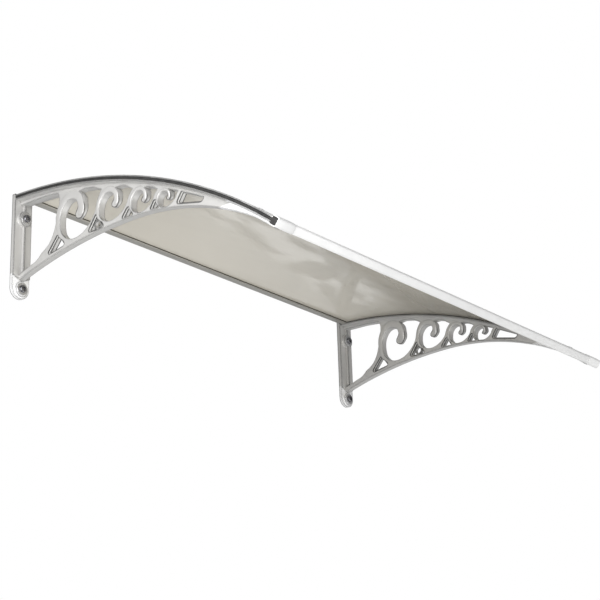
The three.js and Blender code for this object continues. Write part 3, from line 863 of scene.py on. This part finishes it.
def rounded_box(left, right, low, high, radius, steps=5):
    """A rectangle with its corners rounded by quarter circles, each turned on by 90 degrees."""
    t = np.linspace(0, math.pi / 2, steps + 1)
    quarter, turn_on = np.stack([np.cos(t), np.sin(t)], -1) * radius, np.array([[0, 1], [-1, 0]])
    near, far, under, over = left + radius, right - radius, low + radius, high - radius
    return np.concatenate([middle + quarter @ np.linalg.matrix_power(turn_on, k) for k, middle
                           in enumerate([(far, over), (near, over), (near, under), (far, under)])])


def made_bracket():
    """One bracket about x = 0: the pieces of the casting joined, then drilled for its two bolts."""
    plate, panel = made_plate()
    rib_top = float(arch_z(flange_bottom, plate_front)) + 1
    rib = slab("rib", rounded_box(plate_thickness, plate_front + rib_height, rib_low, rib_top, 1.5), [],
               (-rib_thickness / 2, rib_thickness / 2), across, (1.2, 1.2))
    angles = (float(arch_angle(flange_top, plate_thickness)) * sheet_middle, stack_end * sheet_middle)
    flange_section = rounded_box(-plate_width / 2, plate_width / 2, flange_bottom, flange_top, 1.3)
    flange = slab("flange", flange_section, [], angles, over_arch(), (1.0, 1.0), stations=120)
    bosses, drills = zip(*(boss_and_drill(level, drop) for level, drop in bolt_drops.items()))
    body = combined(plate, [panel, rib, made_web(), flange, *bosses])
    return combined(body, drills, "DIFFERENCE")


bracket = made_bracket()
for side_name, side in sides:
    dress(moved_copy(bracket, f"cast_bracket_{side_name}", side * bracket_x), cast_paint, "cast_bracket",
          f"bracket_{side_name}")
bpy.data.objects.remove(bracket)

# %% [markdown]
# The sheet
#
# The sheet is one flat piece of plastic, bent over the arch when it is fitted. It is a section
# four corners wide carried along the arch, in enough steps that its reflections run smoothly.

# %% Sheet
gasket_back = 2.5
wall_rail_depth, wall_rail_grip = 35.0, 9.5
overall_half = bracket_x + plate_width / 2
sheet_half = overall_half - gasket_back - clearance
sheet_rear = wall_rail_depth - wall_rail_grip
sheet_angles = np.array([float(arch_angle(sheet_middle, sheet_rear)), front_angle]) * sheet_middle
sheet = slab("tinted_sheet", rounded_box(-sheet_half, sheet_half, sheet_bottom, sheet_top, 0.4, 3), [],
             sheet_angles, over_arch(), (0.4, 0.4), stations=161, round_steps=2)
dress(sheet, tinted_sheet, "clear_sheet", "canopy_sheet")

# %% [markdown]
# Gaskets and cover strips
#
# A rubber channel grips each side of the sheet between the bracket's flange and an aluminium
# cover strip, which four screws hold down.

# %% Gaskets
strip_inset, gasket_inset = 0.8, 1.0
stack = np.array([rear_angle + clearance / sheet_middle, stack_end]) * sheet_middle


def gasket_section(side):
    """A channel round the sheet's edge, open towards the middle of the canopy."""
    outer, inner = plate_width / 2, gasket_inset - plate_width / 2
    back = outer - gasket_back
    bulge = np.linspace(-math.pi / 2, math.pi / 2, 13)
    middle, half = (gasket_top + gasket_bottom) / 2, (gasket_top - gasket_bottom) / 2
    nose = np.stack([outer - half * 0.6 + half * 0.6 * np.cos(bulge), middle + half * np.sin(bulge)], -1)
    groove = [(inner, gasket_top), (inner, sheet_top + clearance), (back, sheet_top + clearance),
              (back, sheet_bottom - clearance), (inner, sheet_bottom - clearance), (inner, gasket_bottom)]
    return np.concatenate([nose, groove]) * (side, 1)


for side_name, side in sides:
    x = side * bracket_x
    gasket = slab(f"rubber_edge_{side_name}", gasket_section(side), [], stack, over_arch(x), (0.3, 0.3),
                  stations=121, round_steps=2)
    dress(gasket, rubber, "black_rubber", f"edge_gasket_{side_name}")
    half = plate_width / 2 - strip_inset
    strip = slab(f"aluminium_strip_{side_name}", rounded_box(-half, half, strip_bottom, strip_top, 0.9), [],
                 stack, over_arch(x), (0.7, 0.7), stations=121, round_steps=3)
    dress(strip, brushed, "bare_aluminium", f"cover_strip_{side_name}")

# %% [markdown]
# Screws in the strips
#
# Each has a low, wide head with a crossed recess, which hardly shows from the side. The head is
# turned, the cross is cut by two thin bars, and the screw is then stood on the arch at its angle.

# %% Strip screws
screw_count, screw_margin = 4, 60.0
screw_head_radius, screw_head_height, screw_rim = 5.5, 1.0, 0.3
screw_shank_radius, screw_bite, cross_depth, cross_half, cross_slot = 2.5, 6.0, 0.7, 2.6, 0.55
screw_inset = screw_margin / flange_top
screw_angles = np.linspace(rear_angle + screw_inset, stack_end - screw_inset, screw_count)


def plain(u, v, w):
    """Places a piece as it is drawn, with its axis upright."""
    return np.stack([u, v, w], -1)


def made_screw():
    """A low-headed screw with the underside of its head at height 0."""
    crown = np.linspace(0, math.pi / 2, 9)
    length = strip_top - flange_bottom + screw_bite
    profile = [(0, -length), (screw_shank_radius - 0.6, -length), (screw_shank_radius, 1 - length),
               (screw_shank_radius, 0), (screw_head_radius, 0), (screw_head_radius, screw_rim)]
    profile += list(zip(screw_head_radius * np.cos(crown) ** 0.8,
                        screw_rim + (screw_head_height - screw_rim) * np.sin(crown)))
    screw = turned("screw", profile, plain, 40, 40)
    bars = [slab("bar", rounded_box(-a, a, -b, b, 0.3, 2), [], (screw_head_height - cross_depth, 6), plain,
                 (0.2, 0.2)) for a, b in ((cross_half, cross_slot), (cross_slot, cross_half))]
    return combined(screw, bars, "DIFFERENCE", 40)


screw = made_screw()
for side_name, side in sides:
    for i, angle in enumerate(screw_angles):
        d, z = arch_point(strip_top + clearance, angle)
        one = moved_copy(screw, f"screw_{i + 1}_{side_name}")
        one.data.transform(Matrix.Translation((side * bracket_x * MM, -d * MM, z * MM))
                           @ Matrix.Rotation(angle, 4, "X") @ Matrix.Rotation(0.6 * i + side, 4, "Z"))
        dress(one, bright_zinc, "washer_steel", f"strip_screw_{i + 1}_{side_name}")
bpy.data.objects.remove(screw)

# %% [markdown]
# The front rail
#
# The rail is drawn about the sheet's front edge: t runs forward along the sheet, n stands square
# to it. It is a drawn aluminium section with a mouth for the sheet and a chamber above it. At
# each end a slightly larger sleeve covers it, closed by a dark plug.

# %% Rail section
rail_above, rail_below, rail_wall, rail_rounding = 9.5, 9.5, 2.2, 4.0
grip = sheet_thickness / 2 + clearance
rail_end = bracket_x - plate_width / 2
cap_length, plug_thickness = 49.0, 2.4


def arc(centre, radius, start, end, steps=8):
    """Points on a circle, from one angle to another in degrees."""
    turn = np.radians(np.linspace(start, end, steps + 1))
    return np.stack([centre[0] + radius * np.cos(turn), centre[1] + radius * np.sin(turn)], -1)


def rail_section(growth, mouth=True):
    """The rail's outline, grown all round, with or without the slit that takes the sheet."""
    low, high = -rail_below - growth, rail_above + growth
    back, nose = rail_nose - rail_depth - growth, rail_nose + growth
    r = rail_rounding + growth
    parts = [arc((back + 0.8, low + 0.8), 0.8, 180, 270, 3), arc((nose - r, low + r), r, -90, 0),
             arc((nose - r, high - r), r, 0, 90), arc((back + r / 2, high - r / 2), r / 2, 90, 180)]
    if mouth:
        parts.append([(back, grip), (clearance, grip), (clearance, -grip), (back, -grip)])
    return np.concatenate(parts)


def at_front_edge(t, n, w):
    """Places (t, n, x) at the sheet's front edge, turned by the arch's angle there."""
    edge_d, edge_z = arch_point(sheet_middle, front_angle)
    d = edge_d + t * math.cos(front_angle) + n * math.sin(front_angle)
    z = edge_z - t * math.sin(front_angle) + n * math.cos(front_angle)
    return np.stack([w, -d, z], -1)


chamber = rounded_box(rail_nose - rail_depth + rail_wall, rail_nose - rail_wall, grip + rail_wall,
                      rail_above - rail_wall, 0.6, 2)
rail = slab("white_front_rail", rail_section(0), [chamber], (clearance - rail_end, rail_end - clearance),
            at_front_edge, (0.2, 0.2), round_steps=2)
dress(rail, white_coat, "white_rail", "front_rail")

# %% [markdown]
# Each sleeve is the rail's outline grown a little and closed all round. A real one has a mouth for
# the sheet and slots that let water out. They aren't cut here, so the sheet's edge ends inside it.
# The plug is smaller than the rail and stands just clear of the sleeve's end.

# %% Sleeves and plugs
plug_inset = -1.4
for side_name, side in sides:
    ends = sorted([side * rail_end, side * (rail_end + cap_length)])
    cap = slab(f"white_sleeve_{side_name}", rail_section(cap_growth, False), [], ends, at_front_edge,
               (0.8, 0.8))
    dress(cap, white_coat, "white_rail", f"front_rail_cap_{side_name}")
    inner = rail_end + cap_length + clearance
    plug = slab(f"dark_plug_{side_name}", rail_section(plug_inset, False), [],
                sorted([side * inner, side * (inner + plug_thickness)]), at_front_edge, (0.9, 0.9))
    dress(plug, rubber, "black_rubber", f"rail_end_plug_{side_name}")

# %% [markdown]
# The wall rail
#
# The rail along the wall is a bent section with a mouth, into which the sheet's rear edge is
# pushed with a rubber seal round it.

# %% Wall rail and seal
wall_rail_lip, wall_rail_back, wall_rail_rise, seal_wall = 3.0, 2.5, 8.0, 1.3
wall_rail_half = rail_end - 2 * clearance
seal_rear = sheet_rear - clearance - seal_wall
mouth_back = seal_rear - clearance
seal_bottom = float(arch_z(sheet_bottom, wall_rail_depth)) - clearance - seal_wall
seal_top = float(arch_z(sheet_top, sheet_rear)) + clearance + seal_wall
lip_top, cover_bottom = seal_bottom - clearance, seal_top + clearance
rail_outline = [
    (0, cover_bottom), (mouth_back - wall_rail_back, cover_bottom),
    (mouth_back - wall_rail_back, lip_top - wall_rail_lip), (wall_rail_depth, lip_top - wall_rail_lip),
    (wall_rail_depth, lip_top), (mouth_back, lip_top), (mouth_back, cover_bottom),
    (wall_rail_depth, cover_bottom), (wall_rail_depth, cover_bottom + wall_rail_lip),
    (wall_rail_back, cover_bottom + wall_rail_lip), (wall_rail_back, wall_rail_rise), (0, wall_rail_rise)]
wall_rail_span = (-wall_rail_half, wall_rail_half)
wall_rail = slab("anodised_wall_rail", cornered(rail_outline, 0.8, 4), [], wall_rail_span, across,
                 (0.3, 0.3), round_steps=2)
dress(wall_rail, anodised, "bare_aluminium", "wall_rail")

reach = np.linspace(sheet_rear - clearance, wall_rail_depth, 9)
over = np.stack([reach, arch_z(sheet_top, reach) + clearance], -1)
under = np.stack([reach, arch_z(sheet_bottom, reach) - clearance], -1)
seal_outline = np.concatenate([[(seal_rear, seal_bottom), (wall_rail_depth, seal_bottom)], under[::-1], over,
                               [(wall_rail_depth, seal_top), (seal_rear, seal_top)]])
seal = slab("rubber_wall_seal", seal_outline, [], wall_rail_span, across, (0.1, 0.1), round_steps=1)
dress(seal, rubber, "black_rubber", "wall_rail_seal")

# %% [markdown]
# Bolts and washers
#
# Each plate hangs on two bolts. The head is a low dome with a six-sided recess, on a washer with
# a rounded rim.

# %% Bolts and washers
bolt_head_radius, bolt_head_height = 8.5, 4.6
washer_radius, washer_edge = 14.0, 0.8
socket_across, socket_depth = 8.5, 2.6


def made_washer(drop, face, x):
    """A flat ring with its rim rounded off, lying just clear of the boss."""
    inner, outer = bolt_radius + clearance, washer_radius
    base, top = face + clearance, face + clearance + washer_thickness
    rim = np.linspace(0, math.pi / 2, 6)
    profile = [(inner, base), (outer - 0.4, base), (outer, base + 0.4)]
    profile += list(zip(outer - washer_edge * (1 - np.cos(rim)), top - washer_edge * (1 - np.sin(rim))))
    profile += [(inner + 0.3, top), (inner, top - 0.3), (inner, base)]
    return turned("washer", profile, outward(x, -drop), 64)


def made_bolt(drop, face, x):
    """Shank, low domed head and hexagonal recess."""
    seat = face + washer_thickness + 2 * clearance
    dome = np.linspace(0, math.pi / 2, 9)
    r, height = bolt_head_radius, bolt_head_height
    profile = [(0, 0), (bolt_radius, 0), (bolt_radius, seat), (r - 0.3, seat), (r, seat + 0.3)]
    profile += list(zip(r * 0.72 + r * 0.28 * np.cos(dome),
                        seat + height * 0.45 + height * 0.55 * np.sin(dome)))
    profile += [(0, seat + height)]
    bolt = turned("bolt", profile, outward(x, -drop), 64)
    turn = np.radians(np.arange(6) * 60 + 15)
    hexagon = np.stack([np.cos(turn), np.sin(turn)], -1) * socket_across / math.sqrt(3)
    socket = slab("socket", hexagon, [], (seat + height - socket_depth, seat + height + 3),
                  outward(x, -drop), (0.1, 0.1), round_steps=1)
    return combined(bolt, [socket], "DIFFERENCE")


for side_name, side in sides:
    for level, drop in bolt_drops.items():
        x, face = side * bracket_x, boss_faces[level]
        washer = made_washer(drop, face, x)
        washer.name = f"zinc_washer_{level}_{side_name}"
        dress(washer, bright_zinc, "washer_steel", f"washer_{level}_{side_name}")
        bolt = made_bolt(drop, face, x)
        bolt.name = f"dark_bolt_{level}_{side_name}"
        dress(bolt, dark_zinc, "bolt_steel", f"wall_bolt_{level}_{side_name}")

# %% [markdown]
# Camera
#
# The camera stands below the canopy and to its left and looks up at it, as someone who comes to
# the door would. Its place and lens were worked out from the outlines of both brackets.

# %% Camera
azimuth, elevation, roll = math.radians(-51.27), math.radians(-20.24), math.radians(-1.79)
camera_place = Vector((-2.7477, -2.5218, -1.4667))
back = Vector((math.sin(azimuth) * math.cos(elevation), -math.cos(azimuth) * math.cos(elevation),
               math.sin(elevation)))
level_right = Vector((math.cos(azimuth), math.sin(azimuth), 0))
level_up = back.cross(level_right)
right = level_right * math.cos(roll) + level_up * math.sin(roll)
up = level_up * math.cos(roll) - level_right * math.sin(roll)
focal_length, sensor_width = 97.1, 36.0
lens = bpy.data.cameras.new("camera")
lens.lens, lens.sensor_width = focal_length, sensor_width
camera = bpy.data.objects.new("camera", lens)
bpy.context.scene.collection.objects.link(camera)
turn = Matrix((right, up, back)).transposed()
camera.matrix_world = Matrix.Translation(camera_place) @ turn.to_4x4()
bpy.context.scene.camera = camera
print("camera at", [round(v, 3) for v in camera_place])

# %% [markdown]
# Floor
#
# A plain pale floor lies a door's height below. It throws some light back up under the canopy.

# %% Floor
floor_z, floor_size = -2.2, 40
bpy.ops.mesh.primitive_plane_add(size=floor_size, location=(0, 0, floor_z))
floor = bpy.context.object
floor.name = "pale_floor"
floor_finish, tree, shader = new_material("pale_floor", 0.8)
colour_between(tree, object_noise(tree, 1.5, 4), shader, (0.86, 0.86, 0.86), (0.9, 0.9, 0.9))
floor.data.materials.append(floor_finish)
print(f"{floor.name}: {-floor_z} m below the plates' tops")

# %% [markdown]
# Surroundings
#
# The camera sees an even white behind the canopy. What the surfaces reflect is dimmer and uneven,
# like a room with windows, so the glossy sheet shows soft light and dark patches. It is brighter
# in the direction that the sheet mirrors, and darker on the camera's side.

# %% Surroundings
scene = bpy.context.scene
scene.view_settings.view_transform = "Standard"
sky = bpy.data.worlds.new("even_sky")
scene.world = sky
sky.use_nodes = True
tree, view = sky.node_tree, sky.node_tree.nodes["Background"]
view.inputs["Color"].default_value, view.inputs["Strength"].default_value = (1, 1, 1, 1), 1.0
direction = node(tree, "TexCoord").outputs["Generated"]
squeezed = node(tree, "Mapping", Vector=direction, Scale=(1, 1, 0.6))
windows = node(tree, "TexNoise", Vector=squeezed.outputs["Vector"], Scale=22.0, Detail=1.0)


def towards(azimuth_deg, elevation_deg, nearest, farthest, at_centre, outside):
    """From outside to at_centre as the cosine to a direction goes from nearest to farthest."""
    a, e = math.radians(azimuth_deg), math.radians(elevation_deg)
    product = node(tree, "VectorMath")
    product.operation = "DOT_PRODUCT"
    product.inputs[1].default_value = (math.cos(a) * math.cos(e), math.sin(a) * math.cos(e), math.sin(e))
    tree.links.new(direction, product.inputs[0])
    return ranged(tree, product.outputs["Value"], nearest, farthest, outside, at_centre, "SMOOTHSTEP")


strength = ranged(tree, windows.outputs["Fac"], 0.44, 0.56, 0.14, 0.42, "SMOOTHSTEP")
for factor in (towards(38, 12, 0.75, 0.97, 1.9, 1.0), towards(-141, -20, 0.5, 0.95, 0.15, 1.0)):
    strength = worked_out(tree, "MULTIPLY", strength, factor)
light = node(tree, "Background", Color=(1, 1, 1, 1), Strength=strength)
choice = node(tree, "MixShader", Fac=node(tree, "LightPath").outputs["Is Camera Ray"])
for i, shade in enumerate((light, view)):
    tree.links.new(shade.outputs["Background"], choice.inputs[i + 1])
tree.links.new(choice.outputs["Shader"], tree.nodes["World Output"].inputs["Surface"])
print("surroundings:", len(tree.nodes), "nodes")

# %% [markdown]
# Lights
#
# Two large soft lights stand low, one to the left and one in front to the right, and light the
# undersides. A wide, weak sun from above brightens the tops.

# %% Lights
def soft_light(name, place, aim, size, power):
    """A square area light at a place, turned to face the aim."""
    lamp = bpy.data.lights.new(name, "AREA")
    lamp.shape, lamp.size, lamp.energy = "SQUARE", size, power
    made = bpy.data.objects.new(name, lamp)
    scene.collection.objects.link(made)
    made.location = place
    made.rotation_euler = (Vector(aim) - Vector(place)).to_track_quat("-Z", "Y").to_euler()


soft_light("left_window", (-1.6, -0.7, -0.35), (-0.6, -0.25, -0.12), 1.2, 27)
soft_light("low_front", (0.8, -2.3, -1.2), (0, -0.3, -0.15), 2.2, 26)
overhead = bpy.data.lights.new("overhead", "SUN")
overhead.energy, overhead.angle = 0.9, math.radians(50)
above = bpy.data.objects.new("overhead", overhead)
scene.collection.objects.link(above)
above.rotation_euler = (math.radians(-12), math.radians(14), 0)
print("lights: left_window, low_front, overhead")
